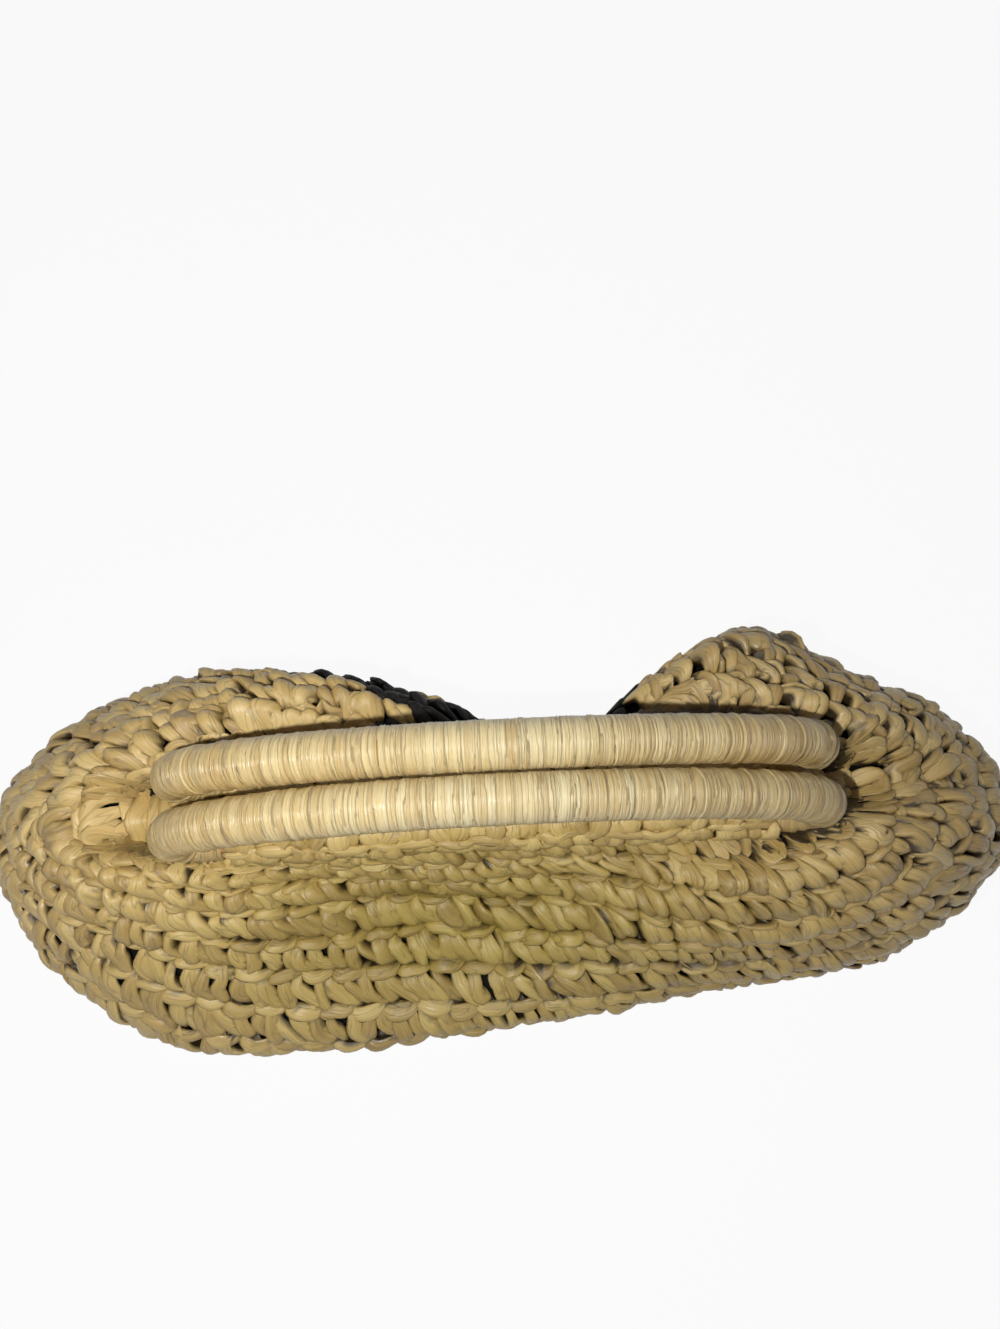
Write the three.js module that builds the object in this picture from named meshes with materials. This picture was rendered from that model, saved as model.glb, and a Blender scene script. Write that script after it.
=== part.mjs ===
// A soft raffia bag crocheted in the round, with two wound arch handles that hinge in hems along its mouth.
// Millimetres, +Z up, +X along the mouth, -Y towards the front panel. The origin is the middle of the flat base.
import * as THREE from "three";

// The one running gap between pieces that touch.
const gap = 0.3;

// Handles: an arch of bent cane closed by a straight lower bar, wound with raffia from corner to corner.
const handle = {
  halfWidth: 103.4,
  rise: 50,
  cornerRadius: 9,
  caneRadius: 5,
  windThickness: 2.2,
  topGap: 0.6,
  axisHeight: 122,
  axisOffset: 10,
};
const winding = { turns: 24, stepsPerTurn: 10, turnGap: 0.85, crown: 0.5, slack: 0.65 };
const cuff = { length: 4.2, thickness: 1.7, slack: 0.5 };
const hem = { wall: 2 };

// The bag's main sizes, level by level: the mouth's edge reaches past the handles, the other levels have half their
// width, half their depth and their height over the base.
const mouth = { reachBeside: 3.6, reachAcross: 5 };
const shoulder = { halfWidth: 139, halfDepth: 43, height: 121 };
const belly = { halfWidth: 188, halfDepth: 64, height: 77 };
const flank = { halfWidth: 181, halfDepth: 62, height: 34 };
const base = { halfWidth: 152, halfDepth: 50, height: 0 };

// Fabric layers, from the outside in.
const crochet = { wall: 4.5, rimSlope: 0.3, rimRise: 0.8 };
const lining = { thickness: 0.8 };
const tape = { thickness: 0.8, rows: [0, 1], front: [-150, -30], back: [30, 150] };
const pocket = { thickness: 0.8, angles: [66, 114], rows: [6, 11] };
const patch = { thickness: 0.8, halfAngle: 12, halfRows: 1 };
const board = { thickness: 2, margin: 6 };
const snap = { radius: 7.5, thickness: 2, studRadius: 2.6, studHeight: 1.4, row: 3 };
const motif = { thickness: 1, angle: 84, columns: 8, firstRow: 3 };

const windRadius = handle.caneRadius + gap + handle.windThickness;
const sleeveRadius = handle.caneRadius + gap + hem.wall;
const barHalf = handle.halfWidth - handle.cornerRadius;
const sleeveHalf = barHalf - cuff.length - gap;
const lean = Math.asin((handle.axisOffset - windRadius - handle.topGap / 2) / handle.rise);

// Outlines of the bag from the mouth down to the base. A higher squareness has flatter sides. lift says how far a
// deeper layer lies above the outer surface there, per millimetre of depth.
const outlines = [
  {
    halfWidth: handle.halfWidth + mouth.reachBeside,
    halfDepth: handle.axisOffset + mouth.reachAcross,
    squareness: 6,
    height: handle.axisHeight - sleeveRadius - gap + crochet.rimRise,
    lift: -crochet.rimSlope,
  },
  { ...shoulder, squareness: 2.2, lift: -1 },
  { ...belly, squareness: 2.2, lift: 0 },
  { ...flank, squareness: 2.3, lift: 0 },
  { ...base, squareness: 2.3, lift: 1 },
];

// Folds of the soft shoulders. Each is centred on an angle round the bag, in degrees from +X, and fades over its
// spread. drop and pinch act on the shoulder outline, sag and swell on the belly outline below it.
const folds = [
  { angle: -96, spread: 30, drop: 36, pinch: 7, sag: 6, swell: 9 }, // sunken front middle
  { angle: 83, spread: 21, drop: 26, pinch: 10, sag: 4, swell: -31 }, // sunken back middle
  { angle: 2, spread: 13, drop: 18, pinch: 0, sag: -2, swell: -2 }, // gusset folded in at the right end
  { angle: 180, spread: 16, drop: 16, pinch: 0, sag: 0, swell: 1 }, // gusset folded in at the left end
  { angle: -129, spread: 25, drop: 0, pinch: 8, sag: 0, swell: 21 }, // front left lobe
  { angle: -39, spread: 22, drop: 0, pinch: -2, sag: 0, swell: 14 }, // front right lobe
  { angle: 135, spread: 23, drop: 0, pinch: 0, sag: 0, swell: 5 }, // back left lobe
  { angle: 61, spread: 11, drop: -6, pinch: -8, sag: -10, swell: 18 }, // back right lobe
];
const mouthNotch = { depth: 16, spread: 12 }; // the mouth's edge dips at both ends
const flankShare = 0.5; // how much of the belly's swell the flank keeps

// The common grid of the fabric layers.
const angleSteps = 60;
const rowSteps = 14;
const cellAngle = 360 / angleSteps;

// How finely round things are cut into flats.
const sides = { cane: 10, cuff: 12, hem: 24, snap: 20, board: 40 };
const steps = { corner: 5, arch: 40, windingPath: 72, windingLength: 600 };

const colours = {
  raffia: { color: 0xb9a06b, roughness: 0.75, metalness: 0 },
  wound: { color: 0xd9c184, roughness: 0.45, metalness: 0 },
  black: { color: 0x15130f, roughness: 0.7, metalness: 0 },
  cane: { color: 0xa9814a, roughness: 0.6, metalness: 0 },
  cotton: { color: 0x26241f, roughness: 0.95, metalness: 0 },
  board: { color: 0x8c7a58, roughness: 0.9, metalness: 0 },
  snap: { color: 0xb59a52, roughness: 0.35, metalness: 1 },
};

function piece(name, geometry, colour) {
  const mesh = new THREE.Mesh(geometry, new THREE.MeshStandardMaterial(colours[colour]));
  mesh.name = name;
  return mesh;
}

function solid(positions, faces) {
  const geometry = new THREE.BufferGeometry();
  geometry.setAttribute("position", new THREE.Float32BufferAttribute(positions, 3));
  geometry.setIndex(faces);
  return geometry;
}

// How strongly a fold acts at an angle round the bag.
function fade(angle, centre, spread) {
  const away = THREE.MathUtils.euclideanModulo(angle - centre + 180, 360) - 180;
  return Math.exp(-((away / spread) ** 2));
}

function roundedPower(value, squareness) {
  return Math.sign(value) * Math.abs(value) ** (2 / squareness);
}

// A point of outline k at an angle, with the folds applied, at a depth under the outer surface. Deeper layers have
// narrower outlines, lie lower at the shoulder, and lie level at their own depth over the base.
function outlinePoint(k, angle, depth) {
  const outline = outlines[k];
  const radians = THREE.MathUtils.degToRad(angle);
  const side = Math.sin(radians);
  const outward = Math.sign(side) * Math.sqrt(Math.abs(side));
  const point = new THREE.Vector3(
    (outline.halfWidth - depth) * roundedPower(Math.cos(radians), outline.squareness),
    (outline.halfDepth - depth) * roundedPower(side, outline.squareness),
    outline.height + outline.lift * depth,
  );
  if (k === 0) {
    const atEnds = fade(angle, 0, mouthNotch.spread) + fade(angle, 180, mouthNotch.spread);
    point.z -= mouthNotch.depth * atEnds;
  }
  for (const fold of folds) {
    const strength = fade(angle, fold.angle, fold.spread);
    if (k === 1) {
      point.y -= outward * fold.pinch * strength;
      point.z -= fold.drop * strength;
    }
    if (k === 2) {
      point.y += outward * fold.swell * strength;
      point.z -= fold.sag * strength;
    }
    if (k === 3) point.y += outward * flankShare * fold.swell * strength;
  }
  return point;
}

// A layer of the bag: a smooth curve through the five outlines. row runs from 0 at the mouth to 1 at the base.
function layerPoint(angle, row, depth) {
  const last = outlines.length - 1;
  const place = THREE.MathUtils.clamp(row, 0, 1) * last;
  const k = Math.min(Math.floor(place), last - 1);
  const share = place - k;
  const here = outlinePoint(k, angle, depth);
  const next = outlinePoint(k + 1, angle, depth);
  const before = k > 0 ? outlinePoint(k - 1, angle, depth) : here.clone().multiplyScalar(2).sub(next);
  const after =
    k + 2 <= last ? outlinePoint(k + 2, angle, depth) : next.clone().multiplyScalar(2).sub(here);
  const curve = (p0, p1, p2, p3) =>
    p1 +
    0.5 * share * (p2 - p0 + share * (2 * p0 - 5 * p1 + 4 * p2 - p3 + share * (3 * (p1 - p2) + p3 - p0)));
  return new THREE.Vector3(
    curve(before.x, here.x, next.x, after.x),
    curve(before.y, here.y, next.y, after.y),
    curve(before.z, here.z, next.z, after.z),
  );
}

// The direction into the bag, square to a layer, over a short way to each side.
function inwardDirection(angle, row, depth) {
  const turn = 2;
  const step = 0.02;
  const round = layerPoint(angle + turn, row, depth).sub(layerPoint(angle - turn, row, depth));
  const down = layerPoint(angle, row + step, depth).sub(layerPoint(angle, row - step, depth));
  return round.cross(down).normalize();
}

// Rows of points of one layer, for a list of rows and a list of angles.
function layerRows(rows, angles, depth) {
  return rows.map((row) => angles.map((angle) => layerPoint(angle, row, depth)));
}

const range = (count, first, last) =>
  Array.from({ length: count + 1 }, (_, i) => first + ((last - first) * i) / count);
const allRows = range(rowSteps, 0, 1);
const allAngles = range(angleSteps, 0, 360).slice(0, angleSteps);

// A closed solid between two layers. round joins the last column to the first, floor closes the last row with a
// level disc on each layer instead of an edge.
function slab(outer, inner, { round = false, floor = false } = {}) {
  const rows = outer.length;
  const columns = outer[0].length;
  const positions = [...outer.flat(), ...inner.flat()].flatMap((p) => [p.x, p.y, p.z]);
  const faces = [];
  const out = (i, j) => i * columns + (j % columns);
  const into = (i, j) => rows * columns + out(i, j);
  const quad = (a, b, c, d) => faces.push(a, b, c, a, c, d);
  const lastColumn = round ? columns : columns - 1;
  for (let j = 0; j < lastColumn; j++) {
    for (let i = 0; i < rows - 1; i++) {
      quad(out(i, j), out(i + 1, j), out(i + 1, j + 1), out(i, j + 1));
      quad(into(i, j), into(i, j + 1), into(i + 1, j + 1), into(i + 1, j));
    }
    quad(out(0, j), out(0, j + 1), into(0, j + 1), into(0, j));
    if (!floor) quad(out(rows - 1, j + 1), out(rows - 1, j), into(rows - 1, j), into(rows - 1, j + 1));
  }
  if (!round) {
    for (let i = 0; i < rows - 1; i++) {
      quad(out(i + 1, 0), out(i, 0), into(i, 0), into(i + 1, 0));
      quad(out(i, columns - 1), out(i + 1, columns - 1), into(i + 1, columns - 1), into(i, columns - 1));
    }
  }
  if (floor) {
    const under = positions.length / 3;
    positions.push(0, 0, outer[rows - 1][0].z, 0, 0, inner[rows - 1][0].z);
    for (let j = 0; j < columns; j++) {
      faces.push(out(rows - 1, j + 1), out(rows - 1, j), under);
      faces.push(into(rows - 1, j), into(rows - 1, j + 1), under + 1);
    }
  }
  return solid(positions, faces);
}

// A solid from rings of points along a path. The rings join end to end when closed, and get flat ends when not.
function sweep(rings, closed) {
  const corners = rings[0].length;
  const positions = rings.flat().flatMap((p) => [p.x, p.y, p.z]);
  const faces = [];
  const at = (i, j) => (i % rings.length) * corners + (j % corners);
  const spans = closed ? rings.length : rings.length - 1;
  for (let i = 0; i < spans; i++) {
    for (let j = 0; j < corners; j++) {
      faces.push(at(i, j), at(i + 1, j + 1), at(i + 1, j));
      faces.push(at(i, j), at(i, j + 1), at(i + 1, j + 1));
    }
  }
  if (!closed) {
    for (let j = 1; j < corners - 1; j++) {
      faces.push(at(0, 0), at(0, j + 1), at(0, j));
      faces.push(at(rings.length - 1, 0), at(rings.length - 1, j), at(rings.length - 1, j + 1));
    }
  }
  return solid(positions, faces);
}

// Points on the right corner of the handle, from the lower bar up to the foot of the arch. x runs along the bar and z
// up from the hinge line.
function cornerLine(count) {
  return range(count, -90, 0).map((angle) => {
    const turn = THREE.MathUtils.degToRad(angle);
    const across = barHalf + handle.cornerRadius * Math.cos(turn);
    return new THREE.Vector3(across, 0, handle.cornerRadius * (1 + Math.sin(turn)));
  });
}

// Points on the arch, from its right foot over the top to its left foot.
function archLine(count) {
  return range(count, 0, 180).map((angle) => {
    const turn = THREE.MathUtils.degToRad(angle);
    const height = (handle.rise - handle.cornerRadius) * Math.sin(turn);
    return new THREE.Vector3(handle.halfWidth * Math.cos(turn), 0, handle.cornerRadius + height);
  });
}

const mirrored = (line) => line.map((p) => new THREE.Vector3(-p.x, p.y, p.z)).reverse();

// Rings of points of one radius round a line in the handle's plane. closed joins the line's ends.
function ringsRound(line, radius, count, closed) {
  const across = new THREE.Vector3(0, 1, 0);
  const last = line.length - 1;
  return line.map((centre, i) => {
    const before = line[i > 0 ? i - 1 : closed ? last : 0];
    const after = line[i < last ? i + 1 : closed ? 0 : last];
    const ahead = after.clone().sub(centre).normalize().add(centre.clone().sub(before).normalize()).normalize();
    const outward = across.clone().cross(ahead);
    return range(count, 0, 360).slice(0, count).map((angle) => {
      const turn = THREE.MathUtils.degToRad(angle);
      return centre
        .clone()
        .addScaledVector(outward, radius * Math.cos(turn))
        .addScaledVector(across, radius * Math.sin(turn));
    });
  });
}

// The bent cane: a closed frame with the lower bar as its straight side.
function caneFrame() {
  const corner = cornerLine(steps.corner);
  const line = [...corner, ...archLine(steps.arch).slice(1, -1), ...mirrored(corner)];
  return sweep(ringsRound(line, handle.caneRadius, sides.cane, true), true);
}

// A cuff of raffia bound round the right corner, between the hem and the foot of the winding.
function cuffElbow() {
  const start = new THREE.Vector3(barHalf - cuff.length, 0, 0);
  const line = [start, ...cornerLine(steps.corner)];
  line[line.length - 1].z -= gap;
  const inner = handle.caneRadius + cuff.slack;
  return slab(
    ringsRound(line, inner + cuff.thickness, sides.cuff, false).reverse(),
    ringsRound(line, inner, sides.cuff, false).reverse(),
    { round: true },
  );
}

// The raffia winding: one flat band that goes round the arch from foot to foot in a single unbroken run.
function windingBand(name) {
  const path = new THREE.CatmullRomCurve3(archLine(steps.windingPath));
  path.arcLengthDivisions = steps.windingLength;
  const length = path.getLength();
  const pitch = length / (winding.turns + 1);
  const width = pitch - winding.turnGap;
  const inner = handle.caneRadius + winding.slack;
  const across = new THREE.Vector3(0, 1, 0);
  const section = [
    [-width / 2, inner],
    [0, inner],
    [width / 2, inner],
    [width / 2, windRadius - winding.crown],
    [0, windRadius],
    [-width / 2, windRadius - winding.crown],
  ];
  const rings = range(winding.turns * winding.stepsPerTurn, 0, 1).map((share) => {
    const middle = pitch / 2 + share * (length - pitch);
    const turn = 2 * Math.PI * winding.turns * share;
    return section.map(([along, radius]) => {
      const place = THREE.MathUtils.clamp((middle + along) / length, 0, 1);
      const ahead = path.getTangentAt(place);
      const outward = across.clone().cross(ahead);
      return path
        .getPointAt(place)
        .addScaledVector(outward, radius * Math.cos(turn))
        .addScaledVector(across, radius * Math.sin(turn));
    });
  });
  printLeastGap(name, rings);
  return sweep(rings, false);
}

// Least distance between neighbouring turns, on points of the two facing edges.
function printLeastGap(name, rings) {
  let least = Infinity;
  for (let i = 0; i + winding.stepsPerTurn < rings.length; i++) {
    for (const here of [2, 3]) {
      for (const there of [0, 5]) {
        least = Math.min(least, rings[i][here].distanceTo(rings[i + winding.stepsPerTurn][there]));
      }
    }
  }
  console.log(name + ": least gap between turns " + least.toFixed(2) + " mm");
}

// A ring round the X axis, from one x to another.
function ringAlongX(innerRadius, outerRadius, from, to, count) {
  const profile = [
    new THREE.Vector2(innerRadius, from),
    new THREE.Vector2(outerRadius, from),
    new THREE.Vector2(outerRadius, to),
    new THREE.Vector2(innerRadius, to),
    new THREE.Vector2(innerRadius, from),
  ];
  const geometry = new THREE.LatheGeometry(profile, count);
  geometry.rotateZ(-Math.PI / 2);
  return geometry;
}

// One handle in its own group: the hinge line is the group's X axis. side is -1 at the front, 1 at the back.
function makeHandle(word, side) {
  const group = new THREE.Group();
  group.position.set(0, side * handle.axisOffset, handle.axisHeight);
  group.rotation.x = side * lean;
  group.add(piece(word + "_handle_cane", caneFrame(), "cane"));
  group.add(piece(word + "_handle_winding", windingBand(word + "_handle_winding"), "wound"));
  for (const [end, turn] of [["left", Math.PI], ["right", 0]]) {
    const binding = piece(word + "_" + end + "_cuff", cuffElbow(), "wound");
    binding.rotation.z = turn;
    group.add(binding);
  }
  return group;
}

// The hem of a panel, turned round the lower bar and sewn down.
function makeHem(word, side) {
  const geometry = ringAlongX(handle.caneRadius + gap, sleeveRadius, -sleeveHalf, sleeveHalf, sides.hem);
  const mesh = piece(word + "_hem", geometry, "raffia");
  mesh.position.set(0, side * handle.axisOffset, handle.axisHeight);
  return mesh;
}

// Depths of the layers under the outer surface.
const liningTop = crochet.wall + gap;
const liningUnder = liningTop + lining.thickness;
const trimTop = liningUnder + gap;

function makeBody() {
  const outer = layerRows(allRows, allAngles, 0);
  const inner = layerRows(allRows, allAngles, crochet.wall);
  return piece("crochet_body", slab(outer, inner, { round: true, floor: true }), "raffia");
}

function makeLining() {
  const outer = layerRows(allRows, allAngles, liningTop);
  const inner = layerRows(allRows, allAngles, liningUnder);
  return piece("lining", slab(outer, inner, { round: true, floor: true }), "cotton");
}

// A piece of cloth sewn on the lining, between two angles and two rows of the common grid.
function liningPatch(name, [firstAngle, lastAngle], [firstRow, lastRow], thickness) {
  const angles = range(Math.round((lastAngle - firstAngle) / cellAngle), firstAngle, lastAngle);
  const rows = range(lastRow - firstRow, firstRow / rowSteps, lastRow / rowSteps);
  const outer = layerRows(rows, angles, trimTop);
  const inner = layerRows(rows, angles, trimTop + thickness);
  return piece(name, slab(outer, inner), "cotton");
}

// A snap half stands on the middle of its patch and points into the bag.
function snapProfile(withStud) {
  const top = withStud ? snap.thickness + snap.studHeight : snap.thickness - snap.studHeight;
  const corners = [
    [0, 0],
    [snap.radius, 0],
    [snap.radius, snap.thickness],
    [snap.studRadius + (withStud ? 0 : gap), snap.thickness],
    [snap.studRadius + (withStud ? 0 : gap), top],
    [0, top],
  ];
  return corners.map(([radius, height]) => new THREE.Vector2(radius, height));
}

function makeSnapHalf(name, angle, row, withStud) {
  const mesh = piece(name, new THREE.LatheGeometry(snapProfile(withStud), sides.snap), "snap");
  const depth = trimTop + patch.thickness + 2 * gap;
  mesh.position.copy(layerPoint(angle, row, depth));
  mesh.quaternion.setFromUnitVectors(new THREE.Vector3(0, 1, 0), inwardDirection(angle, row, depth));
  return mesh;
}

// The stiffener under the bag's load, level on the lining's floor.
function makeBoard() {
  const { squareness } = outlines[outlines.length - 1];
  const shrink = liningUnder + board.margin;
  const shape = new THREE.Shape(
    range(sides.board, 0, 360).slice(0, sides.board).map((angle) => {
      const turn = THREE.MathUtils.degToRad(angle);
      return new THREE.Vector2(
        (base.halfWidth - shrink) * roundedPower(Math.cos(turn), squareness),
        (base.halfDepth - shrink) * roundedPower(Math.sin(turn), squareness),
      );
    }),
  );
  const geometry = new THREE.ExtrudeGeometry(shape, { depth: board.thickness, bevelEnabled: false });
  const mesh = piece("base_board", geometry, "board");
  mesh.position.z = liningUnder + gap;
  return mesh;
}

// The black figure worked in the back panel: an open diamond of one stepped band, in whole cells of the common grid.
// Columns are counted from its middle line and rows from the mouth.
function makeMotif() {
  const topRow = (column) => motif.firstRow + Math.floor(Math.min(column, motif.columns) / 2);
  const lowest = 2 * topRow(motif.columns) - motif.firstRow;
  const cells = new Set();
  for (let column = 0; column < motif.columns; column++) {
    for (let row = topRow(column); row <= topRow(column + 1); row++) {
      for (const [i, j] of [[row, column], [row, -1 - column]]) {
        cells.add(i + "," + j);
        cells.add(motif.firstRow + lowest - i + "," + j);
      }
    }
  }
  const positions = [];
  const numbers = new Map();
  const vertex = (i, j, depth) => {
    const key = [i, j, depth].join();
    if (!numbers.has(key)) {
      numbers.set(key, numbers.size);
      positions.push(...layerPoint(motif.angle + j * cellAngle, i / rowSteps, depth).toArray());
    }
    return numbers.get(key);
  };
  const faces = [];
  const quad = (a, b, c, d) => faces.push(a, b, c, a, c, d);
  const over = (i, j) => vertex(i, j, -gap - motif.thickness);
  const under = (i, j) => vertex(i, j, -gap);
  const wall = (i, j, nextI, nextJ) => quad(over(i, j), over(nextI, nextJ), under(nextI, nextJ), under(i, j));
  for (const cell of cells) {
    const [i, j] = cell.split(",").map(Number);
    quad(over(i, j), over(i + 1, j), over(i + 1, j + 1), over(i, j + 1));
    quad(under(i, j), under(i, j + 1), under(i + 1, j + 1), under(i + 1, j));
    if (!cells.has(i - 1 + "," + j)) wall(i, j, i, j + 1);
    if (!cells.has(i + 1 + "," + j)) wall(i + 1, j + 1, i + 1, j);
    if (!cells.has(i + "," + (j - 1))) wall(i + 1, j, i, j);
    if (!cells.has(i + "," + (j + 1))) wall(i, j + 1, i + 1, j + 1);
  }
  return piece("black_diamond", solid(positions, faces), "black");
}

const bag = new THREE.Group();
bag.add(makeBody(), makeMotif(), makeLining(), makeBoard());
bag.add(makeHem("front", -1), makeHem("back", 1));
bag.add(makeHandle("front", -1), makeHandle("back", 1));
// Two tapes finish the lining's edge along the straight sides of the mouth.
bag.add(liningPatch("front_lining_tape", tape.front, tape.rows, tape.thickness));
bag.add(liningPatch("back_lining_tape", tape.back, tape.rows, tape.thickness));
bag.add(liningPatch("inner_pocket", pocket.angles, pocket.rows, pocket.thickness));
const patchRows = [snap.row - patch.halfRows, snap.row + patch.halfRows];
for (const [word, angle, half] of [["front", -90, "socket"], ["back", 90, "stud"]]) {
  const patchAngles = [angle - patch.halfAngle, angle + patch.halfAngle];
  bag.add(liningPatch("snap_patch_" + word, patchAngles, patchRows, patch.thickness));
  bag.add(makeSnapHalf("snap_" + half, angle, snap.row / rowSteps, half === "stud"));
}

export default bag;
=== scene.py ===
import math

import bpy
import numpy as np
from mathutils import Matrix, Vector


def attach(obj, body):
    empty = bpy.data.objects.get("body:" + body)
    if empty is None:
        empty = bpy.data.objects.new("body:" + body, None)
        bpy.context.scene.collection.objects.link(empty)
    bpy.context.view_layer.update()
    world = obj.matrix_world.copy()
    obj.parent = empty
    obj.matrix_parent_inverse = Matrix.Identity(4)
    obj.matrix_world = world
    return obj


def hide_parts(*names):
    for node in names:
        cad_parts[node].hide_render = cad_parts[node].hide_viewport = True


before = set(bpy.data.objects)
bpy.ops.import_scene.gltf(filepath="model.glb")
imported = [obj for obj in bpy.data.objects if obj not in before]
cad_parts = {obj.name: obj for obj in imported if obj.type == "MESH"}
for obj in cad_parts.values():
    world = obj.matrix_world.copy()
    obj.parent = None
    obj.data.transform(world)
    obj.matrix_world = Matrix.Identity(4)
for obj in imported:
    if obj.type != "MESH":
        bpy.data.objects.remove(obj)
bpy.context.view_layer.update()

# A raffia bag crocheted in the round, seen from nearly overhead. Shapes are worked out in millimetres and turned
# into metres when a mesh is made.

scene = bpy.context.scene
scene.view_settings.view_transform = "Standard"
mm = 0.001

cameraSetup = {
    "place": (-0.00625, -0.04611, 0.45888),
    "right": (0.9985, -0.0526, 0.0134),
    "up": (0.0473, 0.964, 0.2619),
    "lens": 27.63,
}


def makeCamera():
    data = bpy.data.cameras.new("camera")
    data.lens = cameraSetup["lens"]
    data.clip_start = 0.01
    camera = bpy.data.objects.new("camera", data)
    scene.collection.objects.link(camera)
    right = Vector(cameraSetup["right"]).normalized()
    back = right.cross(Vector(cameraSetup["up"])).normalized()
    turn = Matrix((right, back.cross(right), back)).transposed()
    camera.matrix_world = Matrix.Translation(cameraSetup["place"]) @ turn.to_4x4()
    scene.camera = camera


lightSetup = {
    "flash": {"place": (-0.046, -0.064, 0.457), "aim": (-0.16, -0.03, 0.1), "size": 0.008, "power": 1.12},
    "left": {"place": (-0.9, -1.0, 0.6), "aim": (0, 0, 0.08), "size": 1.0, "power": 0.34},
    "right": {"place": (0.7, 1.2, 0.5), "aim": (0, 0, 0.08), "size": 1.0, "power": 0.22},
    "world": 0.01,
}


def makeLights():
    for name in ("flash", "left", "right"):
        setup = lightSetup[name]
        data = bpy.data.lights.new(name + "_light", "AREA")
        data.size = setup["size"]
        data.energy = setup["power"]
        light = bpy.data.objects.new(name + "_light", data)
        scene.collection.objects.link(light)
        place = Vector(setup["place"])
        light.location = place
        light.rotation_mode = "QUATERNION"
        light.rotation_quaternion = (place - Vector(setup["aim"])).to_track_quat("Z", "Y")


def addNode(tree, kind, inputs=None, **settings):
    node = tree.nodes.new(kind)
    for name, value in settings.items():
        setattr(node, name, value)
    for name, value in (inputs or {}).items():
        if isinstance(value, bpy.types.NodeSocket):
            tree.links.new(value, node.inputs[name])
        else:
            node.inputs[name].default_value = value
    return node


def maths(tree, operation, first, second=0.0, third=0.0, clamp=False):
    return addNode(tree, "ShaderNodeMath", {0: first, 1: second, 2: third}, operation=operation,
                   use_clamp=clamp).outputs[0]


def mapped(tree, value, given, wanted, **settings):
    ends = dict(zip(("From Min", "From Max", "To Min", "To Max"), (*given, *wanted)))
    return addNode(tree, "ShaderNodeMapRange", {"Value": value, **ends}, **settings).outputs["Result"]


def noise(tree, place, scale, detail):
    inputs = {"Vector": place, "Scale": scale, "Detail": detail}
    return addNode(tree, "ShaderNodeTexNoise", inputs).outputs["Fac"]


def bumped(tree, strength, distance, height):
    inputs = {"Strength": strength, "Distance": distance, "Height": height}
    return addNode(tree, "ShaderNodeBump", inputs).outputs["Normal"]


def newMaterial(name):
    material = bpy.data.materials.new(name)
    material.use_nodes = True
    tree = material.node_tree
    tree.nodes.clear()
    return material, tree


def seenDirectly(tree):
    path = addNode(tree, "ShaderNodeLightPath").outputs
    either = maths(tree, "MAXIMUM", path["Is Camera Ray"], path["Is Glossy Ray"])
    return maths(tree, "MAXIMUM", either, path["Is Transmission Ray"])


def makeWorld():
    world = bpy.data.worlds.new("studio")
    scene.world = world
    world.use_nodes = True
    tree = world.node_tree
    tree.nodes.clear()
    strength = mapped(tree, seenDirectly(tree), (0, 1), (lightSetup["world"], 1))
    sky = addNode(tree, "ShaderNodeBackground", {"Color": (1, 1, 1, 1), "Strength": strength})
    addNode(tree, "ShaderNodeOutputWorld", {"Surface": sky.outputs[0]})


floorSetup = {"size": 8.0, "colour": (0.86, 0.86, 0.86, 1), "whiteShare": 0.94}


def makeFloor():
    half = floorSetup["size"] / 2
    mesh = bpy.data.meshes.new("floor")
    mesh.from_pydata([(-half, -half, 0), (half, -half, 0), (half, half, 0), (-half, half, 0)], [], [(0, 1, 2, 3)])
    floor = bpy.data.objects.new("floor", mesh)
    scene.collection.objects.link(floor)
    material, tree = newMaterial("floor")
    plain = addNode(tree, "ShaderNodeBsdfDiffuse", {"Color": floorSetup["colour"]})
    white = addNode(tree, "ShaderNodeEmission", {"Color": (1, 1, 1, 1), "Strength": 1.0})
    share = maths(tree, "MULTIPLY", seenDirectly(tree), floorSetup["whiteShare"])
    mix = addNode(tree, "ShaderNodeMixShader", {0: share, 1: plain.outputs[0], 2: white.outputs[0]})
    addNode(tree, "ShaderNodeOutputMaterial", {"Surface": mix.outputs[0]})
    mesh.materials.append(material)


makeCamera()
makeLights()
makeWorld()
makeFloor()
print("camera, lights and floor made")

# The bag's surface is worked out as for the solid. Its middle three outlines are folded.
bagShape = {
    "outlines": [  # half width, half depth, squareness, height, lift per mm of depth, from the mouth to the base
        (107, 15, 6, 115.2, -0.3),
        (139, 43, 2.2, 121, -1),
        (188, 64, 2.2, 77, 0),
        (181, 62, 2.3, 34, 0),
        (152, 50, 2.3, 0, 1),
    ],
    "folds": [  # angle, spread, drop, pinch, sag, swell
        (-96, 30, 36, 7, 6, 9),
        (83, 21, 26, 10, 4, -31),
        (2, 13, 18, 0, -2, -2),
        (180, 16, 16, 0, 0, 1),
        (-129, 25, 0, 8, 0, 21),
        (-39, 22, 0, -2, 0, 14),
        (135, 23, 0, 0, 0, 5),
        (61, 11, -6, -8, -10, 18),
    ],
    "notchDepth": 16,
    "notchSpread": 12,
    "flankShare": 0.5,
}


def foldFade(angle, centre, spread):
    away = (angle - centre + 180) % 360 - 180
    return np.exp(-((away / spread) ** 2))


def roundedPower(value, squareness):
    return np.sign(value) * np.abs(value) ** (2 / squareness)


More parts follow.
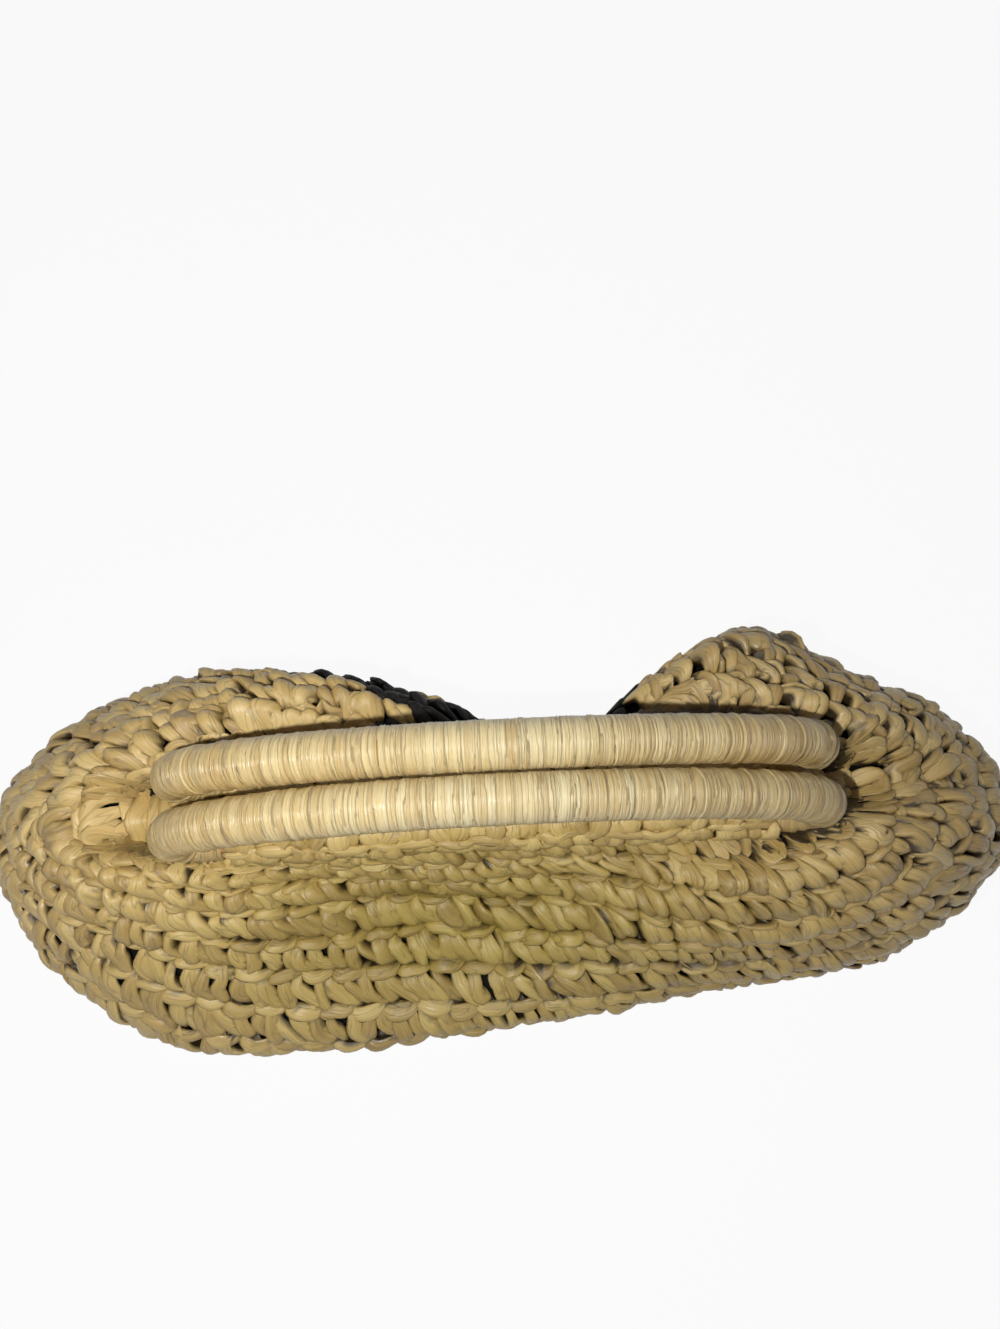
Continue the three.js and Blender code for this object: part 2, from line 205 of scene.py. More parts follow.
def outlinePoints(k, angle, depth):
    halfWidth, halfDepth, squareness, height, lift = bagShape["outlines"][k]
    side = np.sin(np.radians(angle))
    outward = np.sign(side) * np.sqrt(np.abs(side))
    x = (halfWidth - depth) * roundedPower(np.cos(np.radians(angle)), squareness)
    y = (halfDepth - depth) * roundedPower(side, squareness)
    z = height + lift * depth + 0 * x
    if k == 0:
        ends = foldFade(angle, 0, bagShape["notchSpread"]) + foldFade(angle, 180, bagShape["notchSpread"])
        z = z - bagShape["notchDepth"] * ends
    folds = bagShape["folds"] if 0 < k < 4 else []
    for centre, spread, drop, pinch, sag, swell in folds:
        strength = foldFade(angle, centre, spread)
        if k == 1:
            y = y - outward * pinch * strength
            z = z - drop * strength
        if k == 2:
            y = y + outward * swell * strength
            z = z - sag * strength
        if k == 3:
            y = y + outward * bagShape["flankShare"] * swell * strength
    return np.stack([x, y, z], -1)


# A smooth curve's point at t between p1 and p2.
def between(t, p0, p1, p2, p3):
    return p1 + 0.5 * t * (p2 - p0 + t * (2 * p0 - 5 * p1 + 4 * p2 - p3 + t * (3 * (p1 - p2) + p3 - p0)))


def layerPoints(angle, row, depth):
    angle, row, depth = np.broadcast_arrays(*(np.asarray(v, float) for v in (angle, row, depth)))
    rings = np.stack([outlinePoints(k, angle, depth) for k in range(5)])
    rings = np.concatenate([2 * rings[:1] - rings[1:2], rings, 2 * rings[-1:] - rings[-2:-1]])
    place = np.clip(row, 0, 1) * 4
    k = np.minimum(place.astype(int), 3)
    t = (place - k)[..., None]
    return between(t, *(np.take_along_axis(rings, (k + m)[None, ..., None], 0)[0] for m in range(4)))


# Stitches lie at equal steps along and round the bag, so both ways are measured first. place runs from 0 to 1 round one
# row, from the right end, and share from 0 at the mouth to 1 at the base's edge.
tableSize = {"quarter": 240, "rows": 161, "shares": 121, "places": 1440, "even": 720, "soften": 5.0}
# The rounds climb on the left front: centre, spread and how far.
climb = (226, 24, 0.15)


def surfaceTable():
    # Angles crowd at the ends and the middles, where the squared outlines turn fastest.
    quarter = np.linspace(-1, 1, tableSize["quarter"] + 1)[:-1]
    angles = np.concatenate([90 * k + 45 * quarter ** 3 for k in range(4)] + [[315.0]])
    angles = np.concatenate([angles[angles >= 0], angles[angles < 0] + 360, [360.0]])
    rows = np.linspace(0, 1, tableSize["rows"])
    even = np.arange(tableSize["even"]) * 360 / tableSize["even"]
    steps = np.linalg.norm(np.diff(layerPoints(even[:, None], rows[None], 0), axis=1), axis=2)
    way = np.concatenate([np.zeros((len(even), 1)), np.cumsum(steps, axis=1)], axis=1)
    way /= way[:, -1:]
    shares = np.linspace(0, 1, tableSize["shares"])
    pull = climb[2] * foldFade(even, *climb[:2])
    rowOf = np.stack([np.interp(shares - p * np.sin(np.pi * shares), w, rows) for p, w in zip(pull, way)])
    # Softened round the bag, so that no round of stitches has a kink.
    waves = np.arange(tableSize["even"] // 2 + 1) * math.radians(tableSize["soften"])
    rowOf = np.fft.irfft(np.fft.rfft(rowOf, axis=0) * np.exp(-0.5 * waves ** 2)[:, None], tableSize["even"], axis=0)
    rowOf = np.stack([np.interp(angles, even, column, period=360) for column in rowOf.T], -1)
    places = np.linspace(0, 1, tableSize["places"] + 1)
    table, girths = [], []
    for k in range(len(shares)):
        ring = layerPoints(angles, rowOf[:, k], 0)
        inward = layerPoints(angles, rowOf[:, k], 1) - ring
        ringWay = np.concatenate([[0], np.cumsum(np.linalg.norm(np.diff(ring, axis=0), axis=1))])
        columns = np.concatenate([ring, inward, angles[:, None], rowOf[:, k:k + 1]], axis=1)
        table.append(np.stack([np.interp(places * ringWay[-1], ringWay, c) for c in columns.T], -1))
        girths.append(ringWay[-1])
    return np.array(table), shares, np.array(girths)


surface, shareGrid, girths = surfaceTable()


# The back sinks lower behind the far handle, by angle and between two rows.
sunken = {"angles": (69, 72.5, 75, 77.5, 80, 90, 93.5, 98), "depths": (0, 2, 7, 7.5, 7, 6, 2, 0),
          "rows": (0.08, 0.14, 0.22, 0.28, 0.44, 0.6, 0.92, 1), "parts": (0, 0.45, 0.5, 1, 1, 0.7, 0.65, 0.2),
          "flatten": 0.1, "flattenMost": 3}  # strands lie flatter there
# Elsewhere it stands up or gives way, each place with an angle, spread and height: the folded gussets are filled up at
# both ends, and the flank bulges at the right and sinks at the left.
swells = {
    "gussets": {"places": ((180, 13, 8), (2, 10, 3)), "rows": (0, 0.3, 0.5), "parts": (1, 1, 0)},
    "flank": {"places": ((345, 13, 7), (180, 24, -2.5)), "rows": (0.25, 0.48, 0.72, 0.95), "parts": (0, 1, 1, 0)},
}


def sunkenDepth(angle, row):
    low = np.interp(angle, sunken["angles"], sunken["depths"]) * np.interp(row, sunken["rows"], sunken["parts"])
    for swell in swells.values():
        for centre, spread, height in swell["places"]:
            low = low - height * foldFade(angle, centre, spread) * np.interp(row, swell["rows"], swell["parts"])
    return low


def sampled(place, share):
    i = np.clip(share, 0, 1) * (surface.shape[0] - 1)
    j = (place % 1) * (surface.shape[1] - 1)
    i0 = np.minimum(i.astype(int), surface.shape[0] - 2)
    j0 = np.minimum(j.astype(int), surface.shape[1] - 2)
    s, t = (i - i0)[..., None], (j - j0)[..., None]
    low = surface[i0, j0] * (1 - t) + surface[i0, j0 + 1] * t
    high = surface[i0 + 1, j0] * (1 - t) + surface[i0 + 1, j0 + 1] * t
    return low * (1 - s) + high * s


# How far a column of stitches drifts round the bag on its way up, place per share, measured over small steps.
driftStep = {"share": 0.01, "place": 0.002}


def drift(place, share):
    up = sampled(place, share - driftStep["share"])[..., :3] - sampled(place, share + driftStep["share"])[..., :3]
    along = sampled(place + driftStep["place"], share)[..., :3] - sampled(place - driftStep["place"], share)[..., :3]
    return driftStep["place"] / driftStep["share"] * (up * along).sum(-1) / (along ** 2).sum(-1)


crochet = {
    "wallRows": 12,
    "baseRows": 4,
    "baseRowHeight": 12.2,
    "width": 11.4,  # one stitch
    "height": 13.8,  # one row
    "fewest": 58,  # stitches in a row, also where the mouth draws them together
    "fewestBelow": 12,  # and in a row of the base
    "depth": 5.3,  # how far the stitches' inner level lies under the outer surface
    "strands": [  # a stitch's two legs and a link to the next one: across, up and outward
        ("leg", [(-0.3, -8.2, 0.3), (-1.6, -4.6, 2.3), (-2.8, -0.4, 3.7), (-3.2, 3.6, 3.7), (-2.6, 7.4, 0.8)]),
        ("leg", [(1.2, -8.3, 0.5), (2.4, -4.3, 2.6), (3.1, 0.0, 3.9), (3.1, 3.9, 3.8), (2.2, 7.5, 0.8)]),
        ("link", [(-7.4, 5.6, 0.8), (-3.9, 6.3, 3.5), (0.0, 6.6, 4.2), (3.9, 6.4, 3.5), (7.4, 7.2, 0.9)]),
    ],
    # Half width and thickness, rings along and points round a strand, and how far its right edge stands up.
    "leg": {"half": (3.35, 1.95), "rings": 13, "sides": 16, "roll": 0.3},
    "link": {"half": (2.3, 1.8), "rings": 12, "sides": 12, "roll": 0.1},
    "linkLow": 0.7,  # how much of its height and thickness a link keeps away from the front
    "unrest": 0.95,
    "unrestInside": (1, 1, 0.6),  # across, up and outward, for the bends of a strand
    "unrestWhole": (0.8, 0.9, 0.6),  # and for the strand as a whole
    "calm": 0.5,  # how much less they stray in the sunken front
    "dark": 2.6,  # below this height stitches get painted shade
    "lean": (0.28, 0.66),  # legs lean to the left on their way up, more so in the sunken front
    "leanFrom": -3,  # the height where a leaning leg stays in place
    "leanSpread": (0.2, 0.12),  # from stitch to stitch, and between a stitch's legs
    "front": (-96, 62),  # the sunken front's middle and spread, in degrees
    "backLean": (52, 30, 0.3),  # on the far right shoulder too
    "slack": (1.12, 0.84),  # legs are plump round the bag, and leave holes low in the front
    "slackFrom": (0.28, 0.12),  # where the holes begin, and over how much of the height
    "lump": 1.1,  # how far the fabric bulges here and there
    "lumpWaves": (38, 9, 21, 3, 12),  # how the bulges follow each other round and down the bag
    "lumpStart": 8,  # how fast they grow from the mouth down
    "floorGap": 0.05,
}


def smoothPaths(knots, count):
    last = knots.shape[1] - 1
    ends = [2 * knots[:, :1] - knots[:, 1:2], knots, 2 * knots[:, -1:] - knots[:, -2:-1]]
    knots = np.concatenate(ends, axis=1)
    place = np.linspace(0, last, count)
    i = np.minimum(place.astype(int), last - 1)
    t = (place - i)[None, :, None]
    return between(t, *(knots[:, i + m] for m in range(4)))


def unit(vectors):
    return vectors / np.maximum(np.linalg.norm(vectors, axis=-1, keepdims=True), 1e-9)


# How a strand of raffia is crumpled. Sizes are parts of its half width and thickness, and turns are in radians.
crumple = {
    "tip": 0.36, "belly": 0.7, "bellyFrom": 0.07, "bellyLength": 0.88, "bellyPower": 0.8,
    "sizeSpread": 0.13,
    "spin": (0.24, 0.5),  # how far strands turn as a whole, and from end to end
    "folds": 3, "foldDepth": (0.03, 0.14), "foldHalf": 0.2, "foldBend": 1.5,  # folds run along and wander round
    "fullness": 1.08, "ripple": 0.05, "ripples": 11,
    "lens": (0.66, 0.38),  # thickness at the edges and how much more in the middle
    "keel": (-0.1, 0.36, 0.6),  # how far the edges bend down, how that varies, and where the bend turns
}


# Crumpled ribbons round many paths at once. Gives the points, and for the material each point's place along and
# round its strand and a number of the strand's own.
def ribbons(knots, half, rings, sides, roll, rng):
    count = len(knots)
    path = smoothPaths(knots, rings)
    along = unit(np.gradient(path, axis=1))
    across = unit(np.cross(along, np.array([0.0, 0.0, 1.0])))
    out = np.cross(across, along)
    t = np.linspace(0, 1, rings)[None, :, None]
    turn = 2 * np.pi * (np.arange(sides)[None, None] + 0.5) / sides
    belly = np.sin(np.pi * np.clip(t * crumple["bellyLength"] + crumple["bellyFrom"], 0, 1))
    taper = crumple["tip"] + crumple["belly"] * belly ** crumple["bellyPower"]
    size = rng.normal(1, crumple["sizeSpread"], (count, 2, 1, 1))
    phase = rng.uniform(0, 2 * np.pi, (count, 4, 1, 1))
    depth = rng.uniform(*crumple["foldDepth"], (count, 3, 1, 1))
    spins, twists = crumple["spin"]
    spin = roll + rng.normal(0, spins, (count, 1, 1)) + rng.normal(0, twists, (count, 1, 1)) * (t - 0.5)
    crease = crumple["fullness"]
    for k in range(crumple["folds"]):
        bend = phase[:, k] + crumple["foldBend"] * (t - 0.5) * np.cos(phase[:, 3] + 2 * k)
        crease = crease - depth[:, k] * np.exp(-((np.sin(0.5 * (turn - bend)) / crumple["foldHalf"]) ** 2))
    crease = crease + crumple["ripple"] * np.sin(crumple["ripples"] * t + phase[:, 3] + 2 * turn)
    bent, bentSpread, bentTurn = crumple["keel"]
    keel = rng.normal(bent, bentSpread, (count, 1, 1))
    a = half[0] * size[:, 0] * taper * crease * np.cos(turn)
    lens = np.sin(turn) * (crumple["lens"][0] + crumple["lens"][1] * np.abs(np.sin(turn)))
    b = half[1] * size[:, 1] * taper * crease * (lens + keel * (np.abs(np.cos(turn)) - bentTurn))
    sideways = a * np.cos(spin) - b * np.sin(spin)
    upward = a * np.sin(spin) + b * np.cos(spin)
    points = path[:, :, None] + across[:, :, None] * sideways[..., None] + out[:, :, None] * upward[..., None]
    length = np.linalg.norm(np.diff(path, axis=1), axis=2).sum(axis=1)[:, None, None]
    own = rng.uniform(0, 1, (count, 1, 1))
    marks = np.stack(np.broadcast_arrays(t * length, half[0] * np.abs(turn - np.pi) + 0 * t, own), -1)
    return points, marks


# The same faces, looking the other way.
def turnedOver(faces):
    return faces[:, [0, 3, 2, 1]]


def ribbonFaces(count, rings, sides):
    ring, side = np.meshgrid(np.arange(rings - 1), np.arange(sides), indexing="ij")
    after = (side + 1) % sides
    quads = np.stack([ring * sides + side, ring * sides + after, (ring + 1) * sides + after,
                      (ring + 1) * sides + side], -1).reshape(-1, 4)
    k = np.arange(sides // 2 - 1)
    start = np.stack([k, sides - 1 - k, sides - 2 - k, k + 1], -1)
    end = (rings - 1) * sides + start[:, ::-1]
    quads = np.concatenate([quads, start, end])
    quads = turnedOver(quads)
    return (quads[None] + (np.arange(count) * rings * sides)[:, None, None]).reshape(-1, 4)


def makeMesh(name, points, faces, marks=None, cleft=None, material=None):
    mesh = bpy.data.meshes.new(name)
    points = np.asarray(points, float).reshape(-1, 3) * mm
    mesh.vertices.add(len(points))
    mesh.vertices.foreach_set("co", points.ravel())
    mesh.loops.add(faces.size)
    mesh.loops.foreach_set("vertex_index", faces.ravel().astype(np.int32))
    mesh.polygons.add(len(faces))
    mesh.polygons.foreach_set("loop_start", np.arange(0, faces.size, faces.shape[1], dtype=np.int32))
    mesh.polygons.foreach_set("use_smooth", np.ones(len(faces), bool))
    mesh.update(calc_edges=True)
    mesh.validate()
    if marks is not None:
        layer = mesh.attributes.new("strand", "FLOAT_VECTOR", "POINT")
        layer.data.foreach_set("vector", np.asarray(marks, float).ravel())
        layer = mesh.attributes.new("cleft", "FLOAT", "POINT")
        layer.data.foreach_set("value", np.asarray(cleft, float).ravel())
    piece = bpy.data.objects.new(name, mesh)
    scene.collection.objects.link(piece)
    if material:
        mesh.materials.append(material)
    return piece


def joined(parts):
    rows, start = [], 0
    for points, faces, marks, cleft in parts:
        rows.append((points.reshape(-1, 3), faces + start, marks.reshape(-1, 3), cleft.ravel()))
        start += len(rows[-1][0])
    return [np.concatenate(column) for column in zip(*rows)]


# Where a point of the stitch work lies in space. Past a share of 1 it goes on over the base. out is the height over the
# stitches' inner level.
def onBag(place, share, out):
    here = sampled(place, share)
    around, slant, down, sway, swayAround = crochet["lumpWaves"]
    lump = 0.5 + 0.5 * (np.sin(around * place * 2 * np.pi / 6 + slant * share)
                        * np.sin(down * share + sway * np.sin(swayAround * place)))
    low = sunkenDepth(here[..., 6], here[..., 7])
    depth = crochet["depth"] - out - crochet["lump"] * lump * np.clip(share * crochet["lumpStart"], 0, 1)
    depth = depth + low + sunken["flatten"] * np.clip(low, 0, sunken["flattenMost"]) * out
    points = here[..., :3] + here[..., 3:6] * depth[..., None]
    over = np.maximum(share - 1, 0) * crochet["wallRows"] * crochet["baseRowHeight"]
    halfWidth, halfDepth = bagShape["outlines"][4][:2]
    points[..., 0] *= 1 - over / halfWidth
    points[..., 1] *= 1 - over / halfDepth
    points[..., 2] = np.maximum(points[..., 2], crochet["floorGap"])
    return points


# The black figure is an open diamond with stepped edges: how far down its band starts, by degrees from its middle. The
# fabric is drawn down on the right.
figure = {
    "angle": 86.5,
    "leftDegrees": (0, 13, 13.1, 18.5, 18.6, 23, 23.1, 30, 34, 45),
    "leftStarts": (0.08, 0.08, 0.24, 0.24, 0.33, 0.33, 0.41, 0.41, 0.5, 0.6),
    "rightDegrees": (0, 9, 11.5, 14, 16.5, 20, 30, 45),
    "rightStarts": (0.08, 0.12, 0.18, 0.28, 0.4, 0.52, 0.58, 0.66),
    "band": 0.25,
    "low": 1.0,
}


def isBlack(angle, share):
    away = (angle - figure["angle"] + 180) % 360 - 180
    upper = np.where(away > 0, np.interp(away, figure["leftDegrees"], figure["leftStarts"]),
                     np.interp(-away, figure["rightDegrees"], figure["rightStarts"]))
    lower = figure["low"] + figure["leftStarts"][0] - upper
    return (share >= upper) & (share <= lower) & ((share <= upper + figure["band"]) | (share >= lower - figure["band"]))


def stitchRow(index, rng):
    share = (index + 0.5) / crochet["wallRows"]
    girth = float(np.interp(share, shareGrid, girths))
    fewest = crochet["fewest"]
    if index >= crochet["wallRows"]:
        inward = (index - crochet["wallRows"] + 0.5) * crochet["baseRowHeight"]
        girth = girths[-1] - 2 * math.pi * inward
        fewest = crochet["fewestBelow"]
    count = max(fewest, round(girth / crochet["width"]))
    middle = (np.arange(count) + rng.uniform(0, 1)) / count
    angle = sampled(middle, np.full(count, share))[:, 6]
    black = isBlack(angle, share) & (share < 1)
    front = foldFade(angle, *crochet["front"]) if share < 1 else 0 * angle
    leanSpread, legSpread = crochet["leanSpread"]
    centre, spread, more = crochet["backLean"]
    lean = crochet["lean"][0] + (crochet["lean"][1] - crochet["lean"][0]) * front
    lean = lean + more * foldFade(angle, centre, spread) + rng.normal(0, leanSpread, count)
    slackFrom, slackFade = crochet["slackFrom"]
    opened = front * float(np.clip((share - slackFrom) / slackFade, 0, 1))
    slack = (crochet["slack"][0] + (crochet["slack"][1] - crochet["slack"][0]) * opened)[:, None, None, None]
    raised = (crochet["linkLow"] + (1 - crochet["linkLow"]) * front)[:, None, None, None]
    unrest = (crochet["unrest"] * (1 - crochet["calm"] * front))[:, None, None]
    drifting = drift(middle, np.full(count, min(share, 1.0)))
    parts = []
    for kind, path in crochet["strands"]:
        strand = crochet[kind]
        rings, sides = strand["rings"], strand["sides"]
        knots = np.tile(np.array(path, float), (count, 1, 1))
        if kind == "leg":
            knots[..., 0] -= lean[:, None] * (knots[..., 1] - crochet["leanFrom"])
            knots[..., 0] += rng.normal(0, legSpread, (count, 1)) * knots[..., 1]
        else:
            knots[..., 2] *= raised[..., 0, 0]
        knots[:, 1:-1] += unrest * rng.normal(0, 1, knots[:, 1:-1].shape) * np.array(crochet["unrestInside"])
        knots += unrest * rng.normal(0, 1, (count, 1, 3)) * np.array(crochet["unrestWhole"])
        points, marks = ribbons(knots, strand["half"], rings, sides, strand["roll"], rng)
        line = smoothPaths(knots, rings)[:, :, None]
        points = line + (points - line) * (slack if kind == "leg" else raised)
        rise = points[..., 1] / crochet["height"] / crochet["wallRows"]
        place = middle[:, None, None] + points[..., 0] / crochet["width"] / count - rise * drifting[:, None, None]
        parts.append((place % 1, share - rise, points[..., 2], marks, rings, sides))
    return parts, black


# A map of the highest strand at each place tells how deep a point lies among the strands round it, and deep points get
# painted shade. A little depth is ignored, and over the reach the painted shade grows, both at the left and at the
# right end.
relief = {"columns": 1150, "rows": 380, "lowest": -0.1, "highest": 1.5, "empty": -9.0, "ignored": (0.55, 0.3),
          "reach": (1.5, 0.95), "rightMore": 0.5, "mouthFade": (-0.02, 0.03), "foldedEnd": (180, 14),
          "foldedShares": (0.12, 0.22), "foldedPart": 0.85}


def reliefCells(place, share):
    down = (share - relief["lowest"]) / (relief["highest"] - relief["lowest"])
    i = np.clip(down * relief["rows"], 0, relief["rows"] - 1).astype(int)
    return i, (place * relief["columns"]).astype(int) % relief["columns"]


def reliefMap(rounds):
    heights = np.full((relief["rows"], relief["columns"]), relief["empty"])
    for parts, _ in rounds:
        for place, share, out, *_ in parts:
            np.maximum.at(heights, reliefCells(place, share), out)
    for axis in (0, 1):
        heights = np.maximum(heights, np.maximum(np.roll(heights, 1, axis), np.roll(heights, -1, axis)))
    return heights


def paintedCreviceShade(heights, place, share, out):
    under = heights[reliefCells(place, share)] - out
    # The painted shade is stronger towards the right end.
    right = np.clip(np.cos(place * 2 * np.pi), 0, 1)
    ignored = np.interp(right, (0, 1), relief["ignored"])
    reach = np.interp(right, (0, 1), relief["reach"])
    low = np.clip(1 - out / (crochet["dark"] + relief["rightMore"] * right), 0, 1)
    shade = np.maximum(np.clip((under - ignored) / reach, 0, 1), low) * np.interp(share, relief["mouthFade"], (0, 1))
    # Rounds fold over each other at the left end of the mouth, where the map doesn't hold, so the painted shade is cut
    # there.
    folded = foldFade(place * 360, *relief["foldedEnd"]) * np.interp(share, relief["foldedShares"], (1, 0))
    return shade * (1 - relief["foldedPart"] * folded)


# A painted shadow of the far handle lies in the crease between the back hem and the right shoulder: how far back it
# reaches at each x.
crease = {"x": (40, 46, 63, 71, 80, 88, 97, 103, 108), "y": (12, 31, 29.5, 28, 26.6, 25.9, 24.3, 23.4, 12), "from": 12,
          "fade": 0.8}


def paintedHandleShadow(points):
    x, y = points[..., 0], points[..., 1]
    inside = np.clip((np.interp(x, crease["x"], crease["y"]) - y) / crease["fade"], 0, 1)
    return inside * (y > crease["from"])


def makeCrochet(materials):
    rng = np.random.default_rng(11)
    dark = []
    faceCount = 0
    rounds = [stitchRow(index, rng) for index in range(crochet["wallRows"] + crochet["baseRows"])]
    heights = reliefMap(rounds)
    for index, (parts, black) in enumerate(rounds):
        natural = []
        for place, share, out, marks, rings, sides in parts:
            placed = onBag(place, share, out)
            # Painted shade deep among and low on the strands, and a painted shadow of the far handle in the crease
            # behind it.
            shade = np.maximum(paintedCreviceShade(heights, place, share, out), paintedHandleShadow(placed))
            for chosen, into in ((~black, natural), (black, dark)):
                if chosen.any():
                    faces = ribbonFaces(int(chosen.sum()), rings, sides)
                    into.append((placed[chosen], faces, marks[chosen], shade[chosen]))
        word = "wall" if index < crochet["wallRows"] else "base"
        piece = makeMesh(f"crochet_{word}_round_{index + 1:02d}", *joined(natural), material=materials["raffia"])
        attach(piece, "bag")
        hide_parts("crochet_body")
        faceCount += len(piece.data.polygons)
    piece = makeMesh("black_figure", *joined(dark), material=materials["blackRaffia"])
    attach(piece, "bag")
    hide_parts("black_diamond")
    print("rounds", index + 1, "faces", faceCount, "black faces", len(piece.data.polygons))


# Strands that join the two panels across both ends of the mouth. Their low parts get painted shade.
tack = {"left": (121, 116.5, 112, 107.5, 103, 99, 95), "right": (110.5, 107, 103, 99, 95), "half": 10.5,
        "heights": (105, 110, 112, 110, 105), "size": (3.1, 1.7), "rings": 14, "sides": 14, "roll": 0.2, "stray": 0.7,
        "darkFrom": 105, "darkFade": 8, "darkest": 0.5}


def makeTacks(materials, rng):
    parts = []
    way = np.linspace(-1, 1, len(tack["heights"])) * tack["half"]
    for sign, places in ((-1, tack["left"]), (1, tack["right"])):
        knots = np.array([[(sign * x, y, z) for y, z in zip(way, tack["heights"])] for x in places], float)
        knots += rng.normal(0, tack["stray"], knots.shape)
        points, marks = ribbons(knots, tack["size"], tack["rings"], tack["sides"], tack["roll"], rng)
        # Painted shade on the tacks' low parts, where they dive into the mouth.
        shade = np.clip((tack["darkFrom"] - points[..., 2]) / tack["darkFade"], 0, tack["darkest"])
        parts.append((points, ribbonFaces(len(knots), tack["rings"], tack["sides"]), marks, shade))
    piece = makeMesh("mouth_end_tacks", *joined(parts), material=materials["raffia"])
    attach(piece, "bag")
    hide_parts("crochet_body")


hem = {"half": 89.5, "rows": 4, "width": 11.2, "radius": 5.45, "outScale": 0.47, "axisHeight": 122, "axisOffset": 10,
       "leg": (10, 12), "link": (8, 10), "roll": 0.2, "stagger": 0.2,
       "tuck": 0.45}  # how far a strand's part past the end still reaches


def makeHem(word, side, materials, rng):
    parts = []
    count = round(2 * hem["half"] / hem["width"])
    for row in range(hem["rows"]):
        start = rng.uniform(-hem["stagger"], hem["stagger"])
        middle = -hem["half"] + (np.arange(count) + 0.5 + start) * 2 * hem["half"] / count
        for kind, path in crochet["strands"]:
            rings, sides = hem[kind]
            knots = np.tile(np.array(path, float), (count, 1, 1))
            knots[:, 1:-1] += rng.normal(0, crochet["unrest"], knots[:, 1:-1].shape)
            points, marks = ribbons(knots, crochet[kind]["half"], rings, sides, hem["roll"], rng)
            x = middle[:, None, None] + points[..., 0]
            past = np.maximum(np.abs(x) - hem["half"], 0)
            x = np.clip(x, -hem["half"], hem["half"]) + np.sign(x) * hem["tuck"] * past
            turn = 2 * np.pi * (row / hem["rows"]) + points[..., 1] / crochet["height"] * 2 * np.pi / hem["rows"]
            turn = turn * side
            radius = hem["radius"] + np.maximum(points[..., 2], 0) * hem["outScale"]
            placed = np.stack([x, side * hem["axisOffset"] + radius * np.sin(turn),
                               hem["axisHeight"] - radius * np.cos(turn)], -1)
            # Painted shade on the hem's low strands.
            shade = np.clip(1 - points[..., 2] / crochet["dark"], 0, 1)
            faces = ribbonFaces(count, rings, sides)
            # The stitches are mirrored at the back.
            parts.append((placed, turnedOver(faces) if side > 0 else faces, marks, shade))
    piece = makeMesh(word + "_hem_crochet", *joined(parts), material=materials["raffia"])
    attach(piece, "bag")
    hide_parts(word + "_hem")


handle = {
    "halfWidth": 103.4, "rise": 50, "cornerRadius": 9, "axisHeight": 122, "axisOffset": 10,
    "leanDegrees": 2.522, "archPoints": 2000,
    "skin": {"radius": 7.5, "step": 0.35, "sides": 48,
             "strips": (0.8, 3.0),  # narrowest and widest
             "ridge": (0.4, 0.95)},  # how high a strip's edge stands in the middle and at the ends
}


def archLine():
    turn = np.linspace(0, np.pi, handle["archPoints"])
    foot = handle["cornerRadius"]
    return np.stack([handle["halfWidth"] * np.cos(turn), 0 * turn, foot + (handle["rise"] - foot) * np.sin(turn)], -1)


def evenly(line, step):
    way = np.concatenate([[0], np.cumsum(np.linalg.norm(np.diff(line, axis=0), axis=1))])
    places = np.linspace(0, way[-1], max(2, round(way[-1] / step)))
    return np.stack([np.interp(places, way, line[:, k]) for k in range(3)], -1), places


def ontoHandle(points, side):
    lean = math.radians(handle["leanDegrees"]) * side
    x, y, z = points[..., 0], points[..., 1], points[..., 2]
    return np.stack([x, side * handle["axisOffset"] + y * math.cos(lean) - z * math.sin(lean),
                     handle["axisHeight"] + y * math.sin(lean) + z * math.cos(lean)], -1)


winding = {
    "spare": 40, "before": 20,  # strips more than the line needs, and how many of them start before it
    "sway": (0.34, 0.2),  # how far a strip's edge wanders, once and twice round
    "lift": (0.15, 1.4),  # the lowest strip's height, and how few are high
    "cleftPower": 3, "crestFrom": 0.1,  # few gaps get dark painted shade, and every edge a little painted highlight
    "endLength": 45,  # how far the ridges are changed at the ends
    "shingle": (0.7, 14),  # how a strip rises and how sharply it ends
    "fine": ((0.05, 7.3, 2, 0.9), (0.04, 11.9)),  # two fine ripples along the line
    "gapWidth": 0.1, "crestPlace": 0.86, "crestWidth": 0.09,
}


